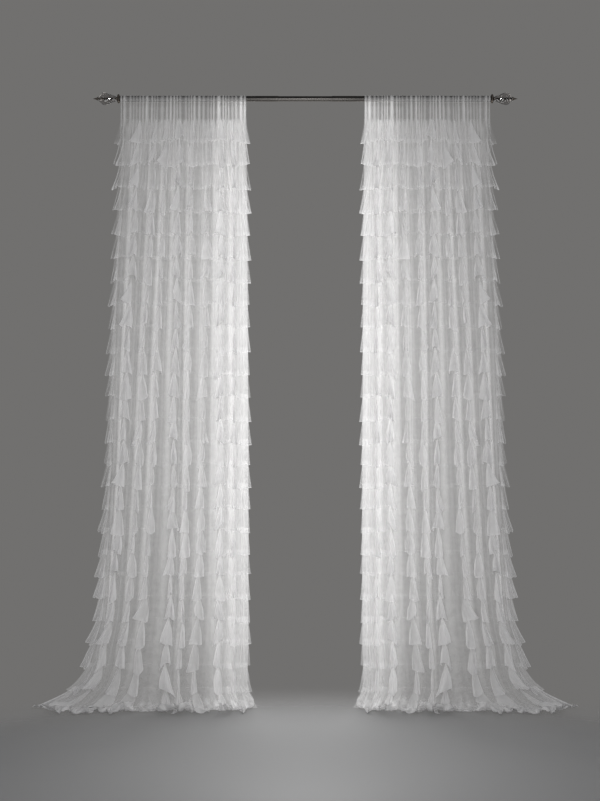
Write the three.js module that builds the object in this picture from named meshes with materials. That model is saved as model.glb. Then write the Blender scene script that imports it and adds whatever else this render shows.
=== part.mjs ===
// A pair of sheer rod pocket curtains with rows of gathered ruffles, on a metal rod with glass finials.
// Millimetres, +Z up. The origin is the middle of the rod's axis, the room is at -Y and the wall at +Y.
import * as THREE from 'three';

// Rod and finials
const FLOOR_DROP = 2430;
const ROD_RADIUS = 11;
const ROD_MIDDLE_RADIUS = 10;
const ROD_MIDDLE_HALF = 108;
const ROD_HALF = 743;
const ROD_SIDES = 16;
const SEAT_GAP = 0.3;
const FINIAL_SIDES = 12;
const CORE_RADIUS = 4;
const GLASS_START = 14;
const GLASS_END = 84;

// Cloth
const CLOTH = 2.2;
const SEAM_GAP = 0.85;
const POCKET_RADIUS = 13.1;
const POCKET_TURNS = [-30, 30, 90, 150, 210];
const POCKET_SEAM_DROP = 16;
const POCKET_BACK_Y = 1.7;
const POCKET_FRONT_Y = -2;
const GATHER_DEPTH = 5;
const GATHER_SWAY = 0.25;
const GATHER_END_DROP = 58;
const HEM_DROP = 2427;

// Ruffle tiers: each strip is sewn along its top edge and hangs over the seam of the next one
const TIER_COUNT = 26;
const FIRST_SEAM_DROP = 80;
const FIRST_HEM_DROP = 169;
const TIER_PITCH = 91.4;
const TIER_OVERLAP = 7;
const CREST_FLARE = 31;
const TROUGH_FLARE = 17;
const FLARE_SWAY = 0.22;
const HEM_SWAY = 4;
const OUTER_END_FLARE = 18;
const INNER_END_FLARE = 13;
const SPREAD_LEAN = 90;
const SWAY = { quickTier: 2.37, quickColumn: 1.31, slowTier: 0.83, slowColumn: 2.11 };

// Edges of the left panel: distances of its outer and inner edge from the middle, and how far it leans out
const OUTLINE = [
  { drop: 0, outer: 740, inner: 236, lean: 0 },
  { drop: 90, outer: 740, inner: 236, lean: 0 },
  { drop: 540, outer: 757, inner: 232, lean: 2 },
  { drop: 1000, outer: 778, inner: 230, lean: 3 },
  { drop: 1500, outer: 795, inner: 228, lean: 4 },
  { drop: 1900, outer: 818, inner: 228, lean: 5 },
  { drop: 2100, outer: 835, inner: 228, lean: 7 },
  { drop: 2200, outer: 857, inner: 228, lean: 10 },
  { drop: 2290, outer: 880, inner: 232, lean: 16 },
  { drop: 2360, outer: 935, inner: 230, lean: 30 },
  { drop: 2430, outer: 1070, inner: 205, lean: 62 },
];

// Folds from the outer to the inner edge: place of the crest as a share of the width, near the top and at
// the foot, half width of its rounded front as a share, and how far it stands out
const FOLDS = [
  { top: 0.036, foot: 0.032, round: 0, crest: 12 },
  { top: 0.158, foot: 0.085, round: 0.018, crest: 24 },
  { top: 0.288, foot: 0.185, round: 0, crest: 17 },
  { top: 0.374, foot: 0.295, round: 0, crest: 19 },
  { top: 0.465, foot: 0.482, round: 0.018, crest: 24 },
  { top: 0.574, foot: 0.565, round: 0, crest: 16 },
  { top: 0.706, foot: 0.66, round: 0, crest: 18 },
  { top: 0.798, foot: 0.812, round: 0.018, crest: 23 },
  { top: 0.887, foot: 0.915, round: 0, crest: 14 },
];
const TROUGH_DEPTH = 12;
const EDGE_DEPTH = 2;

// How much of each fold's depth has opened at a drop below the rod
const FOLD_OPENING = [
  { drop: 80, share: 0.22 },
  { drop: 170, share: 0.45 },
  { drop: 350, share: 0.8 },
  { drop: 620, share: 1 },
  { drop: 2200, share: 1 },
  { drop: 2430, share: 0.8 },
];

// Tiers at whose seams the panel has a section of its own
const SECTION_TIERS = [1, 2, 3, 4, 5, 6, 7, 9, 11, 13, 15, 17, 19, 21, 22, 23, 24, 25, 26];

function atDrop(table, drop, column) {
  const below = table.findIndex((row) => row.drop >= drop);
  if (below < 0) {
    return table[table.length - 1][column];
  }
  if (below === 0) {
    return table[0][column];
  }
  const a = table[below - 1];
  const b = table[below];
  return THREE.MathUtils.mapLinear(drop, a.drop, b.drop, a[column], b[column]);
}

// Columns across a panel: the two edges, one or two on each crest, and a trough between crests
function foldColumns() {
  const crests = FOLDS.map((fold) => {
    const sides = fold.round > 0 ? [-fold.round, fold.round] : [0];
    const point = { depth: fold.crest, crest: true };
    return sides.map((side) => ({ ...point, top: fold.top + side, foot: fold.foot + side }));
  });
  const columns = [{ top: 0, foot: 0, depth: EDGE_DEPTH, crest: true }];
  crests.forEach((points, index) => {
    columns.push(...points);
    const last = points[points.length - 1];
    const next = crests[index + 1]?.[0] ?? { top: 1, foot: 1 };
    const middle = { top: (last.top + next.top) / 2, foot: (last.foot + next.foot) / 2 };
    columns.push({ ...middle, depth: -TROUGH_DEPTH, crest: false });
  });
  columns.push({ top: 1, foot: 1, depth: EDGE_DEPTH, crest: true });
  return columns;
}

const COLUMNS = foldColumns();

const seamDrop = (tier) => (tier === 1 ? FIRST_SEAM_DROP : hemDrop(tier - 1) - TIER_OVERLAP);
const hemDrop = (tier) => Math.min(FIRST_HEM_DROP + TIER_PITCH * (tier - 1), FLOOR_DROP);

// Uneven gathering: a repeatable swing between -1 and 1 for each tier and column
function sway(tier, column) {
  const slow = Math.cos(tier * SWAY.slowTier - column * SWAY.slowColumn);
  return slow * Math.sin(tier * SWAY.quickTier + column * SWAY.quickColumn);
}

// Point of the panel's middle surface on a fold column
function panelPoint(column, drop) {
  const share = THREE.MathUtils.mapLinear(drop, 0, FLOOR_DROP, column.top, column.foot);
  const outer = -atDrop(OUTLINE, drop, 'outer');
  const inner = -atDrop(OUTLINE, drop, 'inner');
  const depth = column.depth * atDrop(FOLD_OPENING, drop, 'share');
  return new THREE.Vector3(
    THREE.MathUtils.lerp(outer, inner, share),
    -depth - atDrop(OUTLINE, drop, 'lean'),
    -drop,
  );
}

// A row of cloth: its two faces stand off the middle surface by half the thickness along a direction
function clothRow(points, directions) {
  return points.map((point, i) => ({
    front: point.clone().addScaledVector(directions[i], CLOTH / 2),
    back: point.clone().addScaledVector(directions[i], -CLOTH / 2),
  }));
}

// The gathered heading has twice the columns: the fold columns and a small gather between each pair
function headingShares() {
  return COLUMNS.flatMap((column, i) => {
    const next = COLUMNS[i + 1];
    return next ? [column.top, (column.top + next.top) / 2] : [column.top];
  });
}

function headingX(share) {
  return THREE.MathUtils.lerp(-OUTLINE[0].outer, -OUTLINE[0].inner, share);
}

const gatherAt = (index) => (index % 2) * GATHER_DEPTH * (1 - GATHER_SWAY * (1 - sway(0, index)));

// Rows of the heading: up the back of the rod, over it, and down the front to the first ruffle
function headingRows() {
  const shares = headingShares();
  const toRoom = new THREE.Vector3(0, -1, 0);
  const toWall = new THREE.Vector3(0, 1, 0);
  const flatRow = (y, drop, side) => clothRow(
    shares.map((share, i) => new THREE.Vector3(headingX(share), y + side.y * gatherAt(i), -drop)),
    shares.map(() => side),
  );
  const turnRow = (degrees) => {
    const angle = THREE.MathUtils.degToRad(degrees);
    const out = new THREE.Vector3(0, Math.cos(angle), Math.sin(angle));
    const radius = POCKET_RADIUS + CLOTH / 2;
    const onAxis = (share) => new THREE.Vector3(headingX(share), 0, 0);
    return clothRow(
      shares.map((share, i) => onAxis(share).addScaledVector(out, radius + gatherAt(i))),
      shares.map(() => out),
    );
  };
  return [
    flatRow(POCKET_BACK_Y, POCKET_SEAM_DROP, toWall),
    ...POCKET_TURNS.map(turnRow),
    flatRow(POCKET_FRONT_Y, POCKET_SEAM_DROP, toRoom),
    flatRow(POCKET_FRONT_Y, GATHER_END_DROP, toRoom),
  ];
}

const PANEL_DROPS = [...SECTION_TIERS.map(seamDrop), HEM_DROP];
const PANEL_ROWS = PANEL_DROPS.map((drop) => {
  const points = COLUMNS.map((column) => panelPoint(column, drop));
  return clothRow(points, points.map(() => new THREE.Vector3(0, -1, 0)));
});

// Point of the panel's front face on a column, between its sections
function panelFace(index, drop) {
  const below = Math.max(1, PANEL_DROPS.findIndex((row) => row >= Math.min(drop, HEM_DROP)));
  const share = (drop - PANEL_DROPS[below - 1]) / (PANEL_DROPS[below] - PANEL_DROPS[below - 1]);
  return PANEL_ROWS[below - 1][index].front.clone().lerp(PANEL_ROWS[below][index].front, share);
}

// Rows of one ruffle: its seam on the panel and its flared hem
function ruffleRows(tier) {
  const last = COLUMNS.length - 1;
  const onFloor = tier === TIER_COUNT;
  const spread = 1 + atDrop(OUTLINE, hemDrop(tier), 'lean') / SPREAD_LEAN;
  const seam = COLUMNS.map((_, i) => {
    const back = panelFace(i, seamDrop(tier));
    back.y -= SEAM_GAP;
    return { back, front: back.clone().setY(back.y - CLOTH) };
  });
  const hem = COLUMNS.map((column, i) => {
    const back = panelFace(i, hemDrop(tier));
    const flare = (column.crest ? CREST_FLARE : TROUGH_FLARE) * (1 + FLARE_SWAY * sway(tier, i));
    back.y -= flare * spread;
    back.x -= i === 0 ? OUTER_END_FLARE : 0;
    back.x += i === last ? INNER_END_FLARE : 0;
    back.z = onFloor ? -FLOOR_DROP : back.z + HEM_SWAY * sway(tier + TIER_COUNT, i);
    return { back, front: back.clone().setY(back.y - CLOTH) };
  });
  return [seam, hem];
}

// Closed sheet from rows of front and back points. A row may have twice the columns of the row below it.
function sheetGeometry(rows, mirrored) {
  const positions = [];
  const faces = [];
  const addPoint = (point) => positions.push(mirrored ? -point.x : point.x, point.y, point.z) / 3 - 1;
  const addPair = (pair) => ({ front: addPoint(pair.front), back: addPoint(pair.back) });
  const grid = rows.map((row) => row.map(addPair));
  const addFace = (a, b, c) => faces.push(...(mirrored ? [a, c, b] : [a, b, c]));
  const bothSides = (a, b, c) => {
    addFace(a.front, b.front, c.front);
    addFace(a.back, c.back, b.back);
  };
  const rim = (a, b) => {
    addFace(a.front, b.front, b.back);
    addFace(a.front, b.back, a.back);
  };
  for (let j = 0; j + 1 < grid.length; j += 1) {
    const upper = grid[j];
    const lower = grid[j + 1];
    const step = (upper.length - 1) / (lower.length - 1);
    for (let i = 0; i + 1 < lower.length; i += 1) {
      for (let k = 0; k < step; k += 1) {
        bothSides(upper[i * step + k], lower[i + Math.min(k, 1)], upper[i * step + k + 1]);
      }
      bothSides(upper[i * step + 1], lower[i], lower[i + 1]);
    }
    rim(lower[0], upper[0]);
    rim(upper[upper.length - 1], lower[lower.length - 1]);
  }
  const top = grid[0];
  const bottom = grid[grid.length - 1];
  for (let i = 0; i + 1 < top.length; i += 1) {
    rim(top[i], top[i + 1]);
  }
  for (let i = 0; i + 1 < bottom.length; i += 1) {
    rim(bottom[i + 1], bottom[i]);
  }
  const geometry = new THREE.BufferGeometry();
  geometry.setAttribute('position', new THREE.Float32BufferAttribute(positions, 3));
  geometry.setIndex(faces);
  geometry.computeVertexNormals();
  return geometry;
}

const chiffon = () => new THREE.MeshStandardMaterial({ color: 0xe9e8e6, roughness: 0.85, metalness: 0 });
const darkMetal = () => new THREE.MeshStandardMaterial({ color: 0x4a4440, roughness: 0.25, metalness: 1 });
const clearGlass = () => new THREE.MeshStandardMaterial({ color: 0xd8d6d2, roughness: 0.05, metalness: 0 });

function namedMesh(name, geometry, material) {
  const mesh = new THREE.Mesh(geometry, material);
  mesh.name = name;
  return mesh;
}

// A turned piece: the lathe's axis is laid along X
function turned(profile, sides) {
  const points = profile.map((row) => new THREE.Vector2(row.radius, row.along));
  return new THREE.LatheGeometry(points, sides).rotateZ(-Math.PI / 2);
}

function rodMesh() {
  const profile = [
    { along: -ROD_HALF, radius: 0 },
    { along: -ROD_HALF, radius: ROD_RADIUS },
    { along: -ROD_MIDDLE_HALF, radius: ROD_RADIUS },
    { along: -ROD_MIDDLE_HALF, radius: ROD_MIDDLE_RADIUS },
    { along: ROD_MIDDLE_HALF, radius: ROD_MIDDLE_RADIUS },
    { along: ROD_MIDDLE_HALF, radius: ROD_RADIUS },
    { along: ROD_HALF, radius: ROD_RADIUS },
    { along: ROD_HALF, radius: 0 },
  ];
  return namedMesh('rod', turned(profile, ROD_SIDES), darkMetal());
}

// Finial fitting from the rod's end outwards: collar, neck, core, knob and tip
const SPINDLE = [
  { along: SEAT_GAP, radius: 0 },
  { along: SEAT_GAP, radius: 15 },
  { along: 2, radius: 17.5 },
  { along: 6.5, radius: 17.5 },
  { along: 8.5, radius: 13 },
  { along: 10.5, radius: 6.5 },
  { along: GLASS_START, radius: 6.5 },
  { along: GLASS_START, radius: CORE_RADIUS },
  { along: GLASS_END, radius: CORE_RADIUS },
  { along: GLASS_END, radius: 6 },
  { along: 87, radius: 6.8 },
  { along: 90, radius: 5.4 },
  { along: 98, radius: 2.6 },
  { along: 106, radius: 0 },
];

// Faceted drop, a ring around the fitting's core
const GLASS = [
  { along: GLASS_START + SEAT_GAP, radius: CORE_RADIUS + SEAT_GAP },
  { along: GLASS_START + SEAT_GAP, radius: 9.5 },
  { along: 26, radius: 13.5 },
  { along: 40, radius: 19.5 },
  { along: 52, radius: 23.8 },
  { along: 62, radius: 25 },
  { along: 70, radius: 22.5 },
  { along: 77, radius: 16 },
  { along: GLASS_END - SEAT_GAP, radius: 8.6 },
  { along: GLASS_END - SEAT_GAP, radius: CORE_RADIUS + SEAT_GAP },
  { along: GLASS_START + SEAT_GAP, radius: CORE_RADIUS + SEAT_GAP },
];

function finialGroup(side, turnAbout) {
  const group = new THREE.Group();
  group.add(namedMesh(`finial_${side}_spindle`, turned(SPINDLE, FINIAL_SIDES), darkMetal()));
  group.add(namedMesh(`finial_${side}_glass`, turned(GLASS, FINIAL_SIDES), clearGlass()));
  group.rotation.z = turnAbout;
  group.position.x = turnAbout > 0 ? -ROD_HALF : ROD_HALF;
  return group;
}

function panelGroup(side, mirrored) {
  const group = new THREE.Group();
  const rows = [...headingRows(), ...PANEL_ROWS];
  group.add(namedMesh(`panel_${side}`, sheetGeometry(rows, mirrored), chiffon()));
  for (let tier = 1; tier <= TIER_COUNT; tier += 1) {
    const name = `ruffle_${side}_${String(tier).padStart(2, '0')}`;
    group.add(namedMesh(name, sheetGeometry(ruffleRows(tier), mirrored), chiffon()));
  }
  return group;
}

const curtain = new THREE.Group();
curtain.add(rodMesh());
curtain.add(finialGroup('left', Math.PI), finialGroup('right', 0));
curtain.add(panelGroup('left', false), panelGroup('right', true));

export default curtain;
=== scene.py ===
"""Looks of a pair of sheer, ruffled rod pocket curtains on a metal rod, in metres with +Z up."""
import math
from types import SimpleNamespace

import bpy
import numpy as np
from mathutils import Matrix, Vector


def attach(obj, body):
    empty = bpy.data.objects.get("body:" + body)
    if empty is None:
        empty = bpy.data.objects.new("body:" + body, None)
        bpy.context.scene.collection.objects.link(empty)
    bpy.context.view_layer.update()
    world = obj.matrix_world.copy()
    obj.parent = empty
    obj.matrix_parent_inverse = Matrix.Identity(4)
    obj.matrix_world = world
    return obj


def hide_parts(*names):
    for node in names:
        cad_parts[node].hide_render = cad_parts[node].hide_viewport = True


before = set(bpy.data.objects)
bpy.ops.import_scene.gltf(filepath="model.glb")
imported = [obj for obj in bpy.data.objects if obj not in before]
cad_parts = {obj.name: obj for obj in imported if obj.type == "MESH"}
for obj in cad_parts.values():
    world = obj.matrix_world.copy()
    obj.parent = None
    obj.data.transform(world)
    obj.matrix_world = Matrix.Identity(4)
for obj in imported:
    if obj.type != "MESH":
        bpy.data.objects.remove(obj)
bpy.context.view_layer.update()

# Sizes of the object, measured from the middle of the rod's axis
FLOOR_DROP = 2.430
ROD_RADIUS = 0.011
ROD_MIDDLE_RADIUS = 0.010
ROD_MIDDLE_HALF = 0.108
ROD_HALF = 0.743
POCKET_RADIUS = 0.0124
POCKET_SEAM_DROP = 0.016
HEADING_DROP = 0.080
TIERS = 26
FIRST_HEM_DROP = 0.169
TIER_PITCH = 0.0914
TIER_OVERLAP = 0.012
SEED = 11
TIER_SEED = SEED * 100
LEAF_SEED = SEED * 1000
CREASE_SEED = SEED + 5

# Edges of the left panel from the middle, and how far it leans out into the room
OUTLINE_DROP = np.array((0, 0.09, 0.54, 1.0, 1.5, 1.9, 2.1, 2.2, 2.29, 2.36, 2.43))
OUTLINE = {
    "outer": np.array((0.740, 0.740, 0.757, 0.778, 0.795, 0.818, 0.835, 0.857, 0.880, 0.938, 1.085)),
    "inner": np.array((0.236, 0.236, 0.232, 0.230, 0.228, 0.228, 0.228, 0.228, 0.231, 0.225, 0.193)),
    "lean": np.array((0, 0, 0.002, 0.003, 0.004, 0.005, 0.007, 0.010, 0.014, 0.021, 0.034)),
}

# Folds from the outer to the inner edge: places across the panel, crest, petals and how full they look, the
# thin cover of the troughs also being painted shade
FOLD_VALUES = ("top", "foot", "round", "crest", "petal", "valley", "full", "thin")
FOLDS = [dict(zip(FOLD_VALUES, fold)) for fold in (
    (0.036, 0.032, 0, 0.012, 0.6, 0.45, 0.42, 0.14),
    (0.158, 0.085, 0.018, 0.024, 1.15, 0.3, 1.0, 0.02),
    (0.288, 0.185, 0, 0.017, 1.0, 0.3, 0.85, 0.1),
    (0.374, 0.295, 0, 0.019, 0.95, 0.2, 0.8, 0.0),
    (0.465, 0.482, 0.018, 0.024, 1.15, 0.3, 1.0, 0.08),
    (0.574, 0.565, 0, 0.016, 0.95, 0.2, 0.85, 0.0),
    (0.706, 0.660, 0, 0.018, 0.8, 0.2, 0.6, 0.0),
    (0.798, 0.812, 0.018, 0.023, 0.95, 0.4, 0.85, 0.4),
    (0.887, 0.915, 0, 0.014, 0.75, 0.45, 0.75, 0.4),
)]
TROUGH_DEPTH = -0.012
TAIL_FROM = 0.857
TAIL_POWER = 4.0
EDGE_DEPTH = 0.002
FOLD_SHARE = 0.62
END_LEAN = 0.75
END_LEAN_FROM = 2.15
FOOT_MIDDLE_FROM = 0.3
FOOT_CORNER_FROM = 0.85
FOOT_CORNER = 0.5
FOLD_OPENING = {
    "drop": (0.08, 0.17, 0.35, 0.62, 2.2, 2.43),
    "share": (0.22, 0.45, 0.8, 1, 1, 0.8),
}

# Camera: level, straight on, at the height and distance that give the photograph's frame
CAMERA_PLACE = (-0.0213, -4.8, -1.207)
CAMERA_LENS = 53.93
SENSOR = 36.0


def make_camera():
    data = bpy.data.cameras.new("camera")
    data.sensor_width = SENSOR
    data.lens = CAMERA_LENS
    camera = bpy.data.objects.new("camera", data)
    camera.location = CAMERA_PLACE
    camera.rotation_euler = (math.pi / 2, 0, 0)
    bpy.context.scene.collection.objects.link(camera)
    bpy.context.scene.camera = camera


# Cloth surface of the left panel
def smooth(start, end, x):
    t = np.clip((x - start) / (end - start), 0, 1)
    return t * t * (3 - 2 * t)


def through(places, values, at):
    """A smooth curve through the given values."""
    at = np.clip(at, places[0], places[-1])
    left = np.clip(np.searchsorted(places, at, "right") - 1, 0, len(places) - 2)
    slope = np.gradient(values, places)
    span = places[left + 1] - places[left]
    t = (at - places[left]) / span
    rise = values[left] * (1 + 2 * t) * (1 - t) ** 2 + values[left + 1] * t ** 2 * (3 - 2 * t)
    return rise + span * (slope[left] * t * (1 - t) ** 2 - slope[left + 1] * t ** 2 * (1 - t))


def outline(name, drop):
    return through(OUTLINE_DROP, OUTLINE[name], drop)


def fold_columns():
    """Share of the width near the top and at the foot, and depth, for the edges, crests and troughs."""
    crests = []
    for fold in FOLDS:
        sides = (-fold["round"], fold["round"]) if fold["round"] else (0,)
        crests.append([(fold["top"] + s, fold["foot"] + s, fold["crest"]) for s in sides])
    columns = [(0, 0, EDGE_DEPTH)]
    for points, after in zip(crests, crests[1:] + [[(1, 1, 0)]]):
        columns += points
        columns.append(((points[-1][0] + after[0][0]) / 2, (points[-1][1] + after[0][1]) / 2, TROUGH_DEPTH))
    columns.append((1, 1, EDGE_DEPTH))
    return np.array(columns)


COLUMNS = fold_columns()
LAST_COLUMN = len(COLUMNS) - 1


def top_share(column):
    return np.interp(column, np.arange(LAST_COLUMN + 1), COLUMNS[:, 0])


def panel_x(column, drop):
    top = top_share(column)
    foot = np.interp(column, np.arange(LAST_COLUMN + 1), COLUMNS[:, 1])
    share = top + (foot - top) * drop / FLOOR_DROP
    outer, inner = outline("outer", drop), outline("inner", drop)
    hanging = np.minimum(outer, TAIL_FROM)
    return -hanging + share * (hanging - inner) - (outer - hanging) * (1 - share) ** TAIL_POWER


def panel_y(column, drop):
    """Front of the panel: rounded folds that open below the heading, and the lean towards the room."""
    left = np.clip(np.floor(column), 0, LAST_COLUMN - 1).astype(int)
    ease = 0.5 - 0.5 * np.cos(np.pi * (column - left))
    depth = COLUMNS[left, 2] + (COLUMNS[left + 1, 2] - COLUMNS[left, 2]) * ease
    opening = np.interp(drop, FOLD_OPENING["drop"], FOLD_OPENING["share"])
    ends = END_LEAN * (1 - foot_middle(top_share(column))) * smooth(END_LEAN_FROM, FLOOR_DROP, drop)
    return -FOLD_SHARE * depth * opening - outline("lean", drop) * (1 - ends)


def foot_middle(share):
    """1 along most of the foot, and less towards the outer tail and the inner corner."""
    return smooth(0, FOOT_MIDDLE_FROM, share) * (1 - FOOT_CORNER * smooth(FOOT_CORNER_FROM, 1, share))


# Uneven gathers: how far they wander in a few long waves, how their height changes, and how sharp they are
GATHER_WANDER = (0.1, 0.35)
GATHER_WANDER_WAVES = (3, 7, 11)
GATHER_HEIGHT = 0.72
GATHER_HEIGHT_SWAY = 0.28
GATHER_HEIGHT_WAVES = 5.3
GATHER_SHARPNESS = 1.6


def swing(share, waves, rng):
    """A plain wave across the panel from a seeded start."""
    return np.sin(2 * np.pi * (waves * share + rng.random()))


def gathers(column, count, rng):
    """Uneven small gathers between 0 and 1 along the heading."""
    share = top_share(column)
    wander = sum(rng.uniform(*GATHER_WANDER) * swing(share, waves, rng) for waves in GATHER_WANDER_WAVES)
    height = GATHER_HEIGHT + GATHER_HEIGHT_SWAY * swing(share, GATHER_HEIGHT_WAVES, rng)
    return (0.5 - 0.5 * np.cos(2 * np.pi * (count * share + wander))) ** GATHER_SHARPNESS * height


def new_piece(name, mesh):
    piece = bpy.data.objects.new(name, mesh)
    bpy.context.scene.collection.objects.link(piece)
    return piece


def cloth_piece(name, points, cover_and_shade, mirrored, crease_row=None):
    """A sheet of quads from a grid of points, with flat lengths as its UV map and one row creased sharp."""
    rows, cols = points.shape[:2]
    place = points.reshape(-1, 3).copy()
    index = np.arange(rows * cols).reshape(rows, cols)
    corners = [index[:-1, :-1], index[1:, :-1], index[1:, 1:], index[:-1, 1:]]
    if mirrored:
        place[:, 0] *= -1
        corners.reverse()
    faces = np.stack(corners, axis=-1).reshape(-1, 4)
    mesh = bpy.data.meshes.new(name)
    mesh.from_pydata(place.tolist(), [], faces.tolist())
    layer = mesh.uv_layers.new(name="flat")
    flat = flat_lengths(points).reshape(-1, 2)[faces.ravel()]
    layer.data.foreach_set("uv", flat.astype(np.float32).ravel())
    # Per-point cover: the cloth's fullness, and also painted shade under the hems, in the troughs, in the
    # foot's creases and at the panel's foot
    full = mesh.attributes.new("cover_and_shade", "FLOAT", "POINT")
    full.data.foreach_set("value", cover_and_shade.astype(np.float32).ravel())
    mesh.polygons.foreach_set("use_smooth", np.ones(len(faces), bool))
    mesh.update()
    if crease_row is not None:
        ends = np.empty(len(mesh.edges) * 2, int)
        mesh.edges.foreach_get("vertices", ends)
        on_row = (ends // cols == crease_row).reshape(-1, 2).all(axis=1)
        mesh.edges.foreach_set("use_edge_sharp", on_row)
    return new_piece(name, mesh)


def flat_lengths(points):
    """Flat cloth coordinates of a grid: along its middle row, and down its middle column."""
    middle_row = points[points.shape[0] // 2]
    middle_column = points[:, points.shape[1] // 2]
    across, down = (
        np.concatenate([[0], np.cumsum(np.linalg.norm(np.diff(line, axis=0), axis=1))])
        for line in (middle_row, middle_column)
    )
    return np.stack(np.broadcast_arrays(across[None, :], down[:, None]), axis=-1)


# Base panel, from the back of its pocket over the rod and down to the floor
PANEL_STEPS = 14
PANEL_ROW = 0.022
HEADING_ROW = 0.005
HEADING_ROWS_TO = 0.2
PANEL_ON_FLOOR = 0.05
PANEL_OPENS = (0.06, 0.34)
HEADING_FRONT = 0.0045
HEADING_GATHER = 1.3
HEADING_LAP = 0.0008
GATHER_COUNT = 34
GATHER_DEPTH = 0.0068
GATHER_LIFT = 0.0015
RIPPLE_COUNT = 25
RIPPLE_DEPTH = 0.004
RIPPLE_MIDDLE = 0.4
RIPPLE_EASES = 0.5
POCKET_TURNS = 22
POCKET_TURNED = np.linspace(-50, 250, POCKET_TURNS)

# How full the panel's cloth looks around the pocket, by degrees turned, and further down
POCKET_COVER = {
    "turned": (-50, -20, 55, 75, 125, 145, 160, 185, 215, 238, 250),
    "between": (-0.3, 0.35, 0.35, -0.5, -0.5, -0.3, 0.0, 0.3, 0.5, 0.5, 0.0),
    "gather": (-0.3, 1.0, 1.0, 0.4, 0.6, 1.0, 1.3, 1.5, 1.5, 1.5, 1.2),
}
POCKET_BACK_COVER = -0.65
HEADING_COVER = {"gather": 1.35, "between": -0.15}
HEADING_COVER_TO = (0.07, 0.13)
SEAM_SHADE = 0.25
SEAM_SHADE_TO = 0.045
# Body cover falls to nothing at the floor: painted shade at the panel's foot
BODY_COVER = {"even": 0.42, "ripple": 0.22, "drop": (1.0, 2.1, FLOOR_DROP), "share": (1, 0.5, 0)}
OUTER_EDGE_THINNER = {"heading": 0.4, "body": 0.6, "within": 0.07}
INNER_EDGE_FULLER = {"heading": 0.4, "from": 0.8}


def panel_points():
    """Grid of the base panel, and how full its cloth looks at each point."""
    rng = np.random.default_rng(SEED)
    column = np.linspace(0, LAST_COLUMN, LAST_COLUMN * PANEL_STEPS + 1)
    gather = gathers(column, GATHER_COUNT, rng)
    ripple = gathers(column, RIPPLE_COUNT, rng) - RIPPLE_MIDDLE
    heading = -HEADING_FRONT - GATHER_DEPTH * HEADING_GATHER * gather
    drops = np.append(
        np.arange(POCKET_SEAM_DROP, HEADING_ROWS_TO, HEADING_ROW),
        np.arange(HEADING_ROWS_TO, FLOOR_DROP + PANEL_ON_FLOOR, PANEL_ROW),
    )
    rows = pocket_rows(panel_x(column, 0.0), heading, gather)
    for drop in drops:
        opened = smooth(*PANEL_OPENS, drop)
        body = panel_y(column, min(drop, FLOOR_DROP)) - RIPPLE_DEPTH * ripple * (1 - RIPPLE_EASES * opened)
        y = heading + (body - heading) * opened
        row = np.stack([panel_x(column, min(drop, FLOOR_DROP)), y, np.full_like(column, -drop)], axis=-1)
        rows.append(settle(row, top_share(column)))
    return np.array(rows), panel_cover(column, drops, gather, ripple)


def pocket_rows(x, heading, gather):
    """Rows from the pocket's turned edge behind its seam, up the back and over the rod to the front."""
    rows = [np.stack([x, heading + HEADING_LAP, np.full_like(x, -POCKET_SEAM_DROP)], axis=-1)]
    for turned, angle in zip(POCKET_TURNED, np.radians(POCKET_TURNED)):
        bulge = GATHER_DEPTH * gather * (1 if turned > 180 else max(-math.cos(angle), 0))
        lift = GATHER_LIFT * gather * max(math.sin(angle), 0)
        y = POCKET_RADIUS * math.cos(angle) - bulge
        z = POCKET_RADIUS * math.sin(angle) + lift
        rows.append(np.stack([x, y, z], axis=-1))
    return rows


def panel_cover(column, drops, gather, ripple):
    """How full the panel looks: striped by the heading's gathers, then even, and thin near the floor as
    painted shade at its foot.
    """
    share = top_share(column)
    down = np.append(np.zeros(POCKET_TURNS + 1), drops)[:, None]
    opened = smooth(*HEADING_COVER_TO, down)
    heading = HEADING_COVER["gather"] * gather + HEADING_COVER["between"]
    # Thinner towards the floor: painted shade at the foot of the panel
    body = np.interp(down, BODY_COVER["drop"], BODY_COVER["share"])
    body = body * (BODY_COVER["even"] + BODY_COVER["ripple"] * ripple)
    full = (1 - opened) * heading + opened * body
    thinner = OUTER_EDGE_THINNER
    thinned = thinner["heading"] + (thinner["body"] - thinner["heading"]) * opened
    full = full - thinned * smooth(thinner["within"], 0, share)
    full = full - SEAM_SHADE * (1 - smooth(POCKET_SEAM_DROP, SEAM_SHADE_TO, down))
    fuller = INNER_EDGE_FULLER
    full = full + fuller["heading"] * (1 - opened) * smooth(fuller["from"], 1, share)
    between = np.interp(POCKET_TURNED, POCKET_COVER["turned"], POCKET_COVER["between"])[:, None]
    on_gather = np.interp(POCKET_TURNED, POCKET_COVER["turned"], POCKET_COVER["gather"])[:, None]
    full[1:POCKET_TURNS + 1] = between * (1 - gather) + on_gather * gather
    full[:2] = POCKET_BACK_COVER
    return full


# Ruffle tiers: each strip hangs from its seam in petals, narrow at the gathers and wide at the turned hem
PETAL_STEPS = 24
RUFFLE_ROWS = 13
FOOT_ROWS = 26
HEM_TIERS = (1, 4, 8, 11, 14, 17, 20, 23, 26)
HEM_SHIFT = (0.003, 0.009, 0.014, 0.018, 0.016, 0.006, -0.003, -0.008, 0)
HEM_EASE = 0.003
HEM_TURN = 0.004
HEM_GAP = 0.0007

# Ranges that the petals of a tier are drawn from
PETAL_DRAW = {
    "border": (-0.2, 0.2),
    "valley": (0.3, 1.2),
    "crest": (0.6, 1.2),
    "crest_width": (0.5, 1.2),
    "valley_width": (0.0, 0.3),
    "length": (-0.009, 0.009),
    "point": (-0.004, 0.019),
    "tilt": (-0.016, 0.016),
    "lean": (-0.25, 0.25),
    "leaf": (-0.3, 1),
    "flutes": (2, 4),
    "flute_depth": (0.12, 0.34),
    "end_flare": (0.6, 1.25),
    "crest_cover": (0.8, 1.15),
    "valley_cover": (0.7, 1.3),
}

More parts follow.
